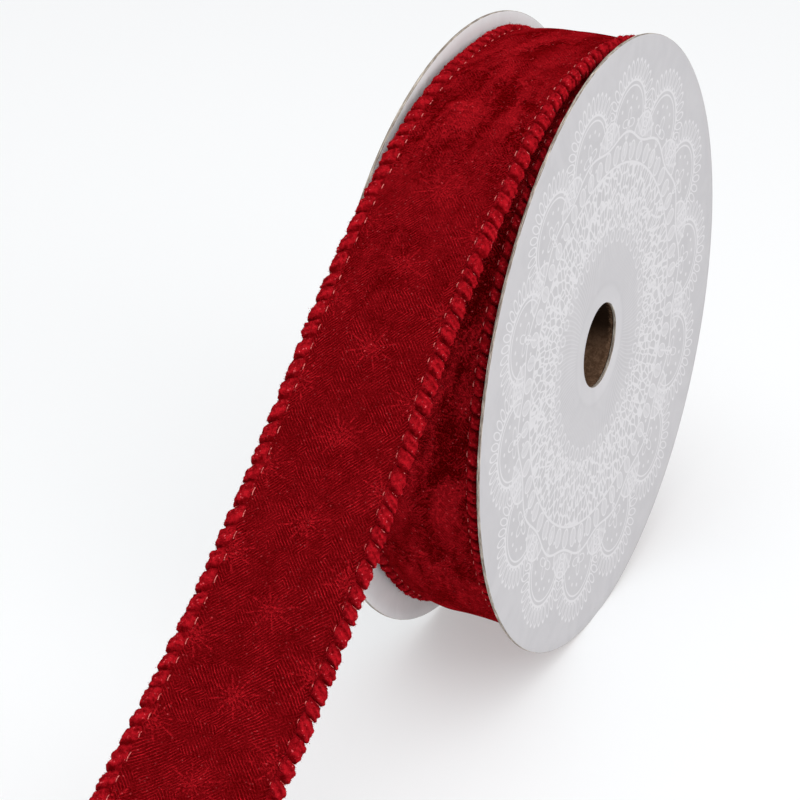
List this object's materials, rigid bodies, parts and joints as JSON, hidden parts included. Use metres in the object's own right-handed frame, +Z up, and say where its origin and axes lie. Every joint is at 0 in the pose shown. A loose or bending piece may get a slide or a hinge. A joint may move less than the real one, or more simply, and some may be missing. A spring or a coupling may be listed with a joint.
{
  "type": "roll of velvet ribbon on a card spool",
  "caption": "Roll of wide velvet ribbon with whipped edging on a card spool with two round flanges, its loose end leading down in front.",
  "frame": {"origin": "middle of the bounding box at the surface that the spool stands on", "axes": "+X along the spool's axis towards the printed flange, -Y the way the loose end leads, +Z up"},
  "size_m": [0.0452, 0.4186, 0.1737],
  "materials": {
    "flange_card": "pale grey card, faintly marbled, with a white lace-like print on the face that shows",
    "core_board": "rough brown cardboard tube",
    "velvet": "crimson embossed velvet with a soft pile",
    "edging": "fuzzy crimson whipped edging"
  },
  "bodies": {
    "root": {"flange_right": "flange_card", "flange_left": "flange_card", "core": "core_board", "ribbon_roll": "velvet", "tail": "velvet", "tail_trim_left": "edging", "tail_trim_right": "edging"}
  },
  "joints": []
}
